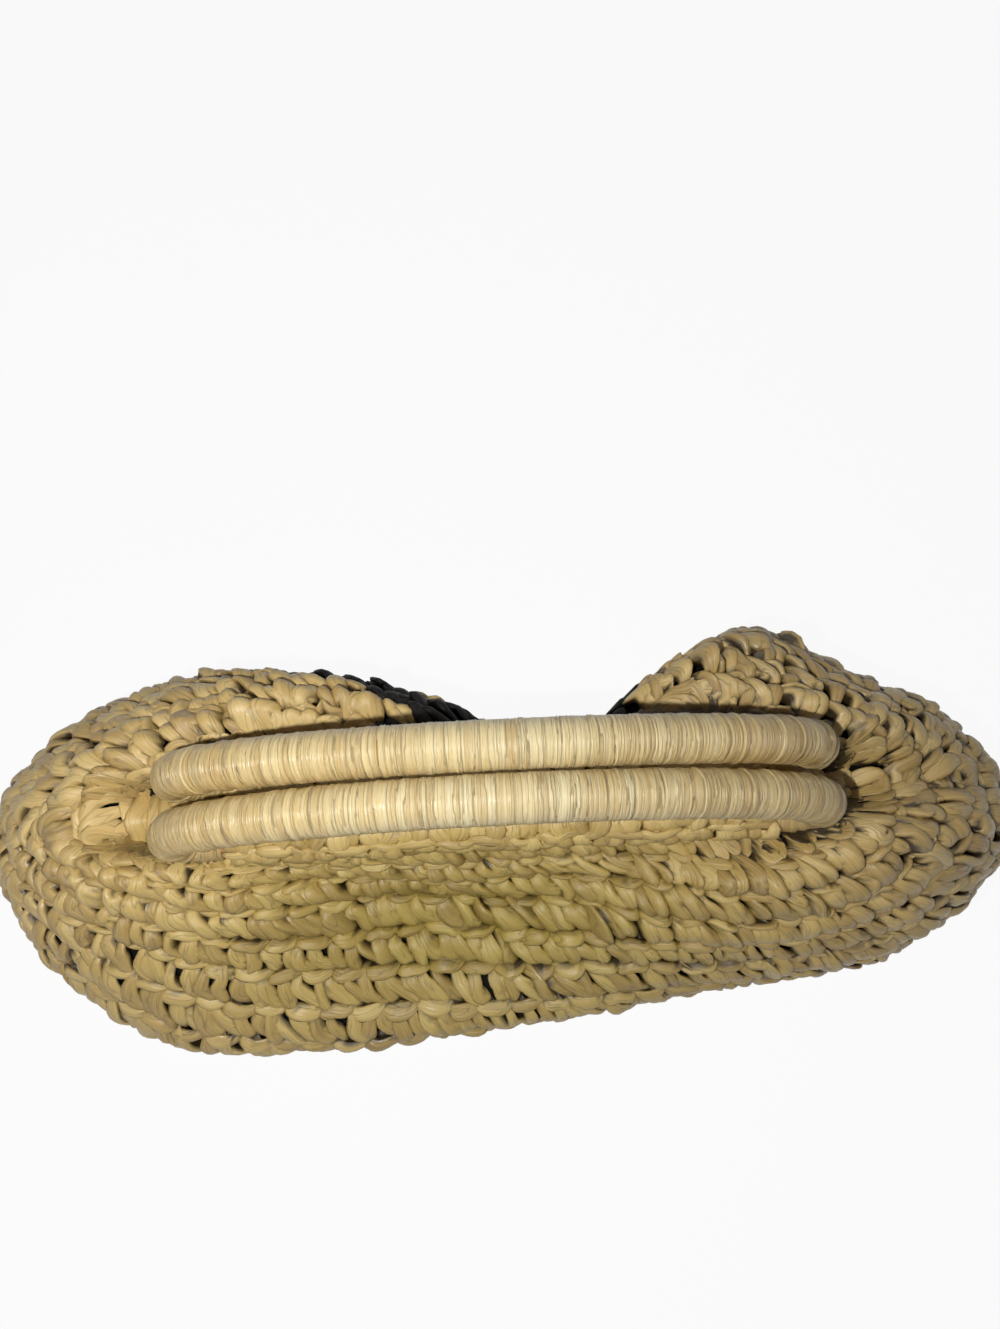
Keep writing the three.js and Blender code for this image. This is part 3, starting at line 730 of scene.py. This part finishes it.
# A wound skin round a line: strips of raffia of uneven width lie over each other like shingles.
def woundSkin(line, skin, rng):
    radius, sides, widths, ridge = (skin[k] for k in ("radius", "sides", "strips", "ridge"))
    centre, places = evenly(line, skin["step"])
    ahead = unit(np.gradient(centre, axis=0))
    across = np.array([0.0, 1.0, 0.0])
    outward = np.cross(across, ahead)
    strips = int(places[-1] / widths[0]) + winding["spare"]
    edges = np.cumsum(rng.uniform(*widths, strips)) - winding["before"] * widths[1]
    turn = 2 * np.pi * np.arange(sides) / sides
    count = strips + 4
    wander = [rng.uniform(0, 2 * np.pi, count) for k in range(2)]
    position = places[:, None] + 0 * turn[None]
    number = np.clip(np.searchsorted(edges, position) - 1, 0, strips - 2)
    # Each strip's edge wanders on its own, so strips overlap unevenly.
    once, twice = winding["sway"]
    sway = once * np.sin(turn[None] + wander[0][number]) + twice * np.sin(2 * turn[None] + wander[1][number])
    number = np.clip(np.searchsorted(edges, position + sway) - 1, 0, strips - 2)
    share = np.clip((position + sway - edges[number]) / (edges[number + 1] - edges[number]), 0, 1)
    lowest, power = winding["lift"]
    heights = rng.uniform(lowest, 1, count) ** power
    tones = rng.uniform(0, 1, count)
    cleft = rng.uniform(0, 1, count) ** winding["cleftPower"]
    ends = np.minimum(places, places[-1] - places) / winding["endLength"]
    strength = (ridge[0] + (ridge[1] - ridge[0]) * np.exp(-ends ** 2))[:, None]
    climbing, sharpness = winding["shingle"]
    shingle = share ** climbing * (1 - np.exp(-(1 - share) * sharpness))
    rise = strength * (shingle * heights[number] - 0.5)
    (low, slow, bend, bending), (lower, quick) = winding["fine"]
    fine = (low * np.sin(position * slow + bend * np.sin(position * bending))
            + lower * np.sin(position * quick + turn[None]))
    r = radius + rise + fine
    points = (centre[:, None] + outward[:, None] * (r * np.cos(turn))[..., None]
              + across * (r * np.sin(turn))[..., None])
    marks = np.stack([radius * np.abs(turn[None] - np.pi) + 0 * position, position, tones[number]], -1)
    paintedHighlight = rng.uniform(winding["crestFrom"], 1, count)
    # Painted shade in the gaps between strips counts up to 1, and a painted highlight on their raised edges down to -1.
    gapShade = np.exp(-((share / winding["gapWidth"]) ** 2)) * cleft[number]
    paleEdgeHighlight = np.exp(-(((share - winding["crestPlace"]) / winding["crestWidth"]) ** 2)) * paintedHighlight[number]
    return points, turnedOver(ribbonFaces(1, len(points), sides)), marks, gapShade - paleEdgeHighlight


def makeWinding(word, side, materials, rng):
    points, *rest = woundSkin(archLine(), handle["skin"], rng)
    piece = makeMesh(word + "_handle_wound", ontoHandle(points, side), *rest, materials["woundRaffia"])
    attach(piece, word + "_handle")
    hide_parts(word + "_handle_winding")


cuff = {"length": 4.2, "cornerPoints": 40,
        "skin": {"radius": 6.8, "step": 0.3, "sides": 36, "strips": (1.6, 3.0), "ridge": (0.6, 0.8)}}


def makeCuff(word, side, end, materials, rng):
    barHalf = handle["halfWidth"] - handle["cornerRadius"]
    turn = np.radians(np.linspace(-90, 0, cuff["cornerPoints"]))
    corner = np.stack([barHalf + handle["cornerRadius"] * np.cos(turn), 0 * turn,
                       handle["cornerRadius"] * (1 + np.sin(turn))], -1)
    line = np.concatenate([[[barHalf - cuff["length"], 0, 0]], corner])
    points, faces, *rest = woundSkin(line, cuff["skin"], rng)
    if end == "left":
        points = points * np.array([-1, 1, 1])
        faces = faces[:, ::-1]
    piece = makeMesh(f"{word}_{end}_cuff_wound", ontoHandle(points, side), faces, *rest, materials["woundRaffia"])
    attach(piece, word + "_handle")
    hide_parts(f"{word}_{end}_cuff")


lining = {"depth": 6.1, "floorDepth": 5.0, "floorRows": (0.8, 0.96), "top": 0.004, "columns": 240, "rows": 70,
          "baseRows": 12, "baseHole": 0.02, "ripple": 0.35, "waves": (0.27, 8, 0.71, 19), "follow": 0.8}
# The other cloths lie on the lining's inner side. Angles and rows say where, flat is the cut in metres.
cloths = {
    "front_lining_tape": {"angles": (210, 330), "rows": (0.003, 0.09), "flat": (0.2, 0.01), "held": "hung",
                          "mesh": (120, 5)},
    "back_lining_tape": {"angles": (30, 150), "rows": (0.003, 0.09), "flat": (0.2, 0.01), "held": "hung",
                         "mesh": (120, 5)},
    "inner_pocket": {"angles": (66, 114), "rows": (6 / 14, 11 / 14), "flat": (0.165, 0.066), "held": "hung",
                     "mesh": (40, 20)},
    "snap_patch_front": {"angles": (-102, -78), "rows": (2 / 14, 4 / 14), "flat": (0.062, 0.025),
                         "held": "stretched", "mesh": (40, 20)},
    "snap_patch_back": {"angles": (78, 102), "rows": (2 / 14, 4 / 14), "flat": (0.052, 0.021),
                        "held": "stretched", "mesh": (40, 20)},
}
clothDepth = 7.0
clothWaves = (0.31, 9, 0.83, 23)


def clothPoints(angle, row, depth, waves):
    first, firstDown, second, secondDown = waves
    ripple = lining["ripple"] * (np.sin(angle * first + row * firstDown) + np.sin(angle * second - row * secondDown))
    low = lining["follow"] * np.maximum(sunkenDepth(angle, row), 0)
    return layerPoints(angle, row, depth + low + 0.5 * np.abs(ripple))


def gridFaces(points, closed=False):
    rows, columns = points.shape[:2]
    last = columns if closed else columns - 1
    i, j = np.meshgrid(np.arange(rows - 1), np.arange(last), indexing="ij")
    after = (j + 1) % columns
    return np.stack([i * columns + j, (i + 1) * columns + j, (i + 1) * columns + after, i * columns + after],
                    -1).reshape(-1, 4)


def makeLining(materials):
    angle = np.linspace(0, 360, lining["columns"] + 1)[:-1]
    row = np.linspace(lining["top"], 1, lining["rows"])
    angle, row = np.meshgrid(angle, row)
    depth = np.interp(row, lining["floorRows"], (lining["depth"], lining["floorDepth"]))
    wall = clothPoints(angle, row, depth, lining["waves"])
    shrink = np.linspace(1, lining["baseHole"], lining["baseRows"] + 1)[1:, None, None]
    floorRows = wall[-1:] * np.array([1, 1, 0]) * shrink + wall[-1:] * np.array([0, 0, 1])
    points = np.concatenate([wall, floorRows])
    piece = makeMesh("lining_cloth", points, gridFaces(points, closed=True), material=materials["cotton"])
    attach(piece, "bag")
    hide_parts("lining")


def makeCloth(node, materials):
    cloth = cloths[node]
    columns, rows = cloth["mesh"]
    angle, row = np.meshgrid(np.linspace(*cloth["angles"], columns), np.linspace(*cloth["rows"], rows))
    points = clothPoints(angle, row, clothDepth, clothWaves)
    piece = makeMesh(node + "_cloth", points, gridFaces(points), material=materials["cotton"])
    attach(piece, "bag")
    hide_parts(node)


fibreSetup = {
    "apart": 37.0,  # each strand takes its own part of the pattern
    "roughness": 0.62, "streak": (0.34, 0.66), "blotch": 0.23,
    "foldLength": 0.42, "foldEdge": (0.004, 0.03), "foldDepth": 0.6,
    "fine": 2.7, "fineDepth": 0.5, "gapDepth": 1.2,
}


# Fibre streaks and thin folds along a strand; the folds' darker colour is painted shade. The strand attribute holds the
# way along it and round it in mm, and its own number. The other attribute holds painted shade above 0, where strands
# part or lie deep, and a painted highlight below 0, on a pale edge.
def makeFibreGroup():
    tree = bpy.data.node_groups.new("raffia fibre", "ShaderNodeTree")
    face = tree.interface
    for name in ("Streak Width", "Streak Length", "Fold Width"):
        face.new_socket(name, in_out="INPUT", socket_type="NodeSocketFloat").default_value = 1.0
    for name in ("Streak", "Tone", "Fold", "Cleft", "Crest", "Height"):
        face.new_socket(name, in_out="OUTPUT", socket_type="NodeSocketFloat")
    given = addNode(tree, "NodeGroupInput")
    strand = addNode(tree, "ShaderNodeAttribute", attribute_name="strand")
    cleft = addNode(tree, "ShaderNodeAttribute", attribute_name="cleft")
    split = addNode(tree, "ShaderNodeSeparateXYZ", {0: strand.outputs["Vector"]})
    along = maths(tree, "DIVIDE", split.outputs["X"], given.outputs["Streak Length"])
    around = maths(tree, "DIVIDE", split.outputs["Y"], given.outputs["Streak Width"])
    own = maths(tree, "MULTIPLY", split.outputs["Z"], fibreSetup["apart"])
    place = addNode(tree, "ShaderNodeCombineXYZ", {"X": along, "Y": around, "Z": own}).outputs[0]
    streak = addNode(tree, "ShaderNodeTexNoise", {"Vector": place, "Scale": 1.0, "Detail": 4.0,
                                                  "Roughness": fibreSetup["roughness"]})
    lifted = mapped(tree, streak.outputs["Fac"], fibreSetup["streak"], (0, 1))
    blotch = noise(tree, place, fibreSetup["blotch"], 2.0)
    tone = maths(tree, "MULTIPLY", maths(tree, "ADD", blotch, split.outputs["Z"]), 0.5)
    foldAround = maths(tree, "DIVIDE", split.outputs["Y"], given.outputs["Fold Width"])
    foldAlong = maths(tree, "MULTIPLY", along, fibreSetup["foldLength"])
    foldPlace = addNode(tree, "ShaderNodeCombineXYZ", {"X": foldAlong, "Y": foldAround, "Z": own}).outputs[0]
    off = maths(tree, "ABSOLUTE", maths(tree, "SUBTRACT", noise(tree, foldPlace, 1.0, 0.0), 0.5))
    fold = mapped(tree, off, fibreSetup["foldEdge"], (1, 0), interpolation_type="SMOOTHSTEP")
    paintedShadeMask = addNode(tree, "ShaderNodeClamp", {"Value": cleft.outputs["Fac"]}).outputs[0]
    paintedHighlight = maths(tree, "MULTIPLY", cleft.outputs["Fac"], -1.0, clamp=True)
    fine = noise(tree, place, fibreSetup["fine"], 3.0)
    height = maths(tree, "MULTIPLY_ADD", fine, fibreSetup["fineDepth"], lifted)
    gap = maths(tree, "MULTIPLY_ADD", fold, fibreSetup["foldDepth"], paintedShadeMask)
    height = maths(tree, "SUBTRACT", height, maths(tree, "MULTIPLY", gap, fibreSetup["gapDepth"]))
    addNode(tree, "NodeGroupOutput", {"Streak": lifted, "Tone": tone, "Fold": fold, "Cleft": paintedShadeMask, "Crest": paintedHighlight,
                                      "Height": height})
    return tree


def ramp(tree, value, stops):
    node = addNode(tree, "ShaderNodeValToRGB", {"Fac": value})
    elements = node.color_ramp.elements
    while len(elements) < len(stops):
        elements.new(0.5)
    for element, (place, colour) in zip(elements, stops):
        element.position = place
        element.color = (*colour, 1)
    return node.outputs["Color"]


def linear(*colour):
    return tuple((c / 255 / 12.92) if c < 10.3 else ((c / 255 + 0.055) / 1.055) ** 2.4 for c in colour)


# foldColour is painted shade, mixed into thin folds by foldMix and into deep places by cleftMix; crestMix mixes a
# painted highlight in streakColour onto pale edges.
raffiaLooks = {
    "raffia": {
        "stops": [(0.2, linear(172, 139, 78)), (0.5, linear(207, 174, 104)), (0.8, linear(230, 200, 134))],
        "streakColour": linear(242, 216, 154), "streakMix": 0.3, "streak": (0.6, 7.0, 2.6),
        "foldColour": linear(36, 24, 8), "foldMix": 0.3, "cleftMix": 0.96, "crestMix": 0.0,
        "roughness": (0.5, 0.32), "bump": (0.45, 0.0003), "paintedFrontShade": 1.0, "paintedEndShade": 0.0, "specular": 0.6,
    },
    "blackRaffia": {
        "stops": [(0.2, linear(6, 6, 5)), (0.6, linear(11, 10, 9)), (0.9, linear(20, 18, 16))],
        "streakColour": linear(36, 33, 29), "streakMix": 0.3, "streak": (0.6, 7.0, 2.6),
        "foldColour": linear(3, 3, 3), "foldMix": 0.5, "cleftMix": 0.0, "crestMix": 0.0,
        "roughness": (0.6, 0.45), "bump": (0.4, 0.0003), "paintedFrontShade": 0.0, "paintedEndShade": 0.0, "specular": 0.15,
    },
    "woundRaffia": {
        "stops": [(0.2, linear(204, 170, 104)), (0.5, linear(232, 205, 142)), (0.8, linear(247, 227, 174))],
        "streakColour": linear(250, 236, 194), "streakMix": 0.6, "streak": (0.34, 16.0, 1.3),
        "foldColour": linear(84, 58, 22), "foldMix": 0.3, "cleftMix": 0.85, "crestMix": 0.8,
        "roughness": (0.36, 0.2), "bump": (0.8, 0.00025), "paintedFrontShade": 0.0, "paintedEndShade": 1.0, "specular": 0.7,
    },
}


# Painted shade: the sunken front is darker and greener, and the handles darker and yellower towards their ends.
paintedFrontShadeSpot = {"middle": (-0.012, -0.042, 0.092), "perMetre": (9.5, 24.0, 16.0), "reach": (0.3, 1.5),
             "tint": (0.62, 0.64, 0.4)}
paintedEndShadeTint = {"reach": (0.015, 0.1), "tint": (0.88, 0.78, 0.58)}


def addShader(tree, inputs):
    shader = addNode(tree, "ShaderNodeBsdfPrincipled", inputs)
    addNode(tree, "ShaderNodeOutputMaterial", {"Surface": shader.outputs[0]})


def makeRaffia(name, fibre):
    look = raffiaLooks[name]
    material, tree = newMaterial(name)
    group = addNode(tree, "ShaderNodeGroup", node_tree=fibre)
    for socket, value in zip(("Streak Width", "Streak Length", "Fold Width"), look["streak"]):
        group.inputs[socket].default_value = value

    def mixed(factor, first, second, blend="MIX"):
        node = addNode(tree, "ShaderNodeMix", data_type="RGBA", blend_type=blend)
        tree.links.new(factor, node.inputs["Factor"])
        tree.links.new(first, node.inputs["A"])
        node.inputs["B"].default_value = (*second, 1)
        return node.outputs["Result"]

    colour = ramp(tree, group.outputs["Tone"], look["stops"])
    # Streak is the strand's own tone; Fold and Cleft mix in painted shade, and Crest a painted highlight.
    for mask, kind in (("Streak", "streak"), ("Fold", "fold"), ("Crest", "streak"), ("Cleft", "fold")):
        factor = maths(tree, "MULTIPLY", group.outputs[mask], look[mask.lower() + "Mix"], clamp=True)
        colour = mixed(factor, colour, look[kind + "Colour"])
    # Painted shade, darker and greener, over the sunken front.
    if look["paintedFrontShade"]:
        spot = addNode(tree, "ShaderNodeNewGeometry")
        apart = addNode(tree, "ShaderNodeVectorMath", {0: spot.outputs["Position"], 1: paintedFrontShadeSpot["middle"]},
                        operation="SUBTRACT")
        scaled = addNode(tree, "ShaderNodeVectorMath", {0: apart.outputs[0], 1: paintedFrontShadeSpot["perMetre"]},
                         operation="MULTIPLY")
        far = addNode(tree, "ShaderNodeVectorMath", {0: scaled.outputs[0]}, operation="LENGTH")
        near = mapped(tree, far.outputs["Value"], paintedFrontShadeSpot["reach"], (look["paintedFrontShade"], 0))
        colour = mixed(near, colour, paintedFrontShadeSpot["tint"], "MULTIPLY")
    # Painted shade, darker and yellower, towards the handle ends.
    if look["paintedEndShade"]:
        spot = addNode(tree, "ShaderNodeNewGeometry")
        apart = addNode(tree, "ShaderNodeSeparateXYZ", {0: spot.outputs["Position"]})
        aside = maths(tree, "ABSOLUTE", apart.outputs["X"])
        ends = mapped(tree, aside, paintedEndShadeTint["reach"], (0, look["paintedEndShade"]))
        colour = mixed(ends, colour, paintedEndShadeTint["tint"], "MULTIPLY")
    rough = mapped(tree, group.outputs["Streak"], (0, 1), look["roughness"])
    bump = bumped(tree, *look["bump"], group.outputs["Height"])
    addShader(tree, {"Base Color": colour, "Roughness": rough, "Normal": bump, "Specular IOR Level": look["specular"]})
    return material


cottonLook = {"weave": {"Scale": 900.0, "Distortion": 1.2}, "bump": (0.3, 0.0002), "roughness": 0.95, "specular": 0.2,
              "stops": [(0.2, (0.003, 0.003, 0.003)), (0.9, (0.008, 0.0078, 0.0075))]}


def makeCotton():
    material, tree = newMaterial("cotton")
    place = addNode(tree, "ShaderNodeTexCoord").outputs["Object"]
    inputs = {"Vector": place, **cottonLook["weave"]}
    weft, warp = (addNode(tree, "ShaderNodeTexWave", inputs, bands_direction=way).outputs["Fac"]
                  for way in ("DIAGONAL", "Z"))
    both = maths(tree, "MAXIMUM", weft, warp)
    addShader(tree, {"Base Color": ramp(tree, both, cottonLook["stops"]), "Roughness": cottonLook["roughness"],
                     "Specular IOR Level": cottonLook["specular"],
                     "Normal": bumped(tree, *cottonLook["bump"], both)})
    return material


# Grain per metre along x, y and z, how fine it is, and its darker and lighter colour.
plainLooks = {
    "cane": {"grain": (40, 900, 500), "detail": 5.0,
             "stops": [(0.3, linear(150, 108, 60)), (0.7, linear(198, 158, 104))],
             "roughness": (0.45, 0.45), "bump": (0.2, 0.0003), "metallic": 0.0},
    "board": {"grain": (700, 700, 700), "detail": 4.0,
              "stops": [(0.3, linear(122, 104, 76)), (0.7, linear(158, 138, 106))],
              "roughness": (0.9, 0.9), "bump": (0.2, 0.0002), "metallic": 0.0},
    "snapMetal": {"grain": (400, 400, 400), "detail": 5.0,
                  "stops": [(0.35, linear(168, 140, 84)), (0.7, linear(206, 182, 122))],
                  "roughness": (0.2, 0.42), "bump": (0.0, 0.0001), "metallic": 1.0},
}


def makePlain(name):
    look = plainLooks[name]
    material, tree = newMaterial(name)
    place = addNode(tree, "ShaderNodeTexCoord").outputs["Object"]
    stretched = addNode(tree, "ShaderNodeMapping", {"Vector": place, "Scale": look["grain"]}).outputs[0]
    grain = noise(tree, stretched, 1.0, look["detail"])
    addShader(tree, {"Base Color": ramp(tree, grain, look["stops"]), "Metallic": look["metallic"],
                     "Roughness": mapped(tree, grain, (0, 1), look["roughness"]),
                     "Normal": bumped(tree, *look["bump"], grain)})
    return material


def dressNode(name, material):
    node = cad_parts[name]
    node.data.materials.clear()
    node.data.materials.append(material)


fibre = makeFibreGroup()
materials = {name: makeRaffia(name, fibre) for name in raffiaLooks}
materials.update({name: makePlain(name) for name in plainLooks}, cotton=makeCotton())
print("materials made")

makeCrochet(materials)
makeTacks(materials, np.random.default_rng(5))
print("crochet made")

for seed, (word, side) in enumerate((("front", -1), ("back", 1))):
    rng = np.random.default_rng(40 + seed)
    makeHem(word, side, materials, rng)
    makeWinding(word, side, materials, rng)
    for end in ("left", "right"):
        makeCuff(word, side, end, materials, rng)
    dressNode(word + "_handle_cane", materials["cane"])
print("handles made")

makeLining(materials)
for node in cloths:
    makeCloth(node, materials)
dressNode("base_board", materials["board"])
dressNode("snap_socket", materials["snapMetal"])
dressNode("snap_stud", materials["snapMetal"])
print("lining made")
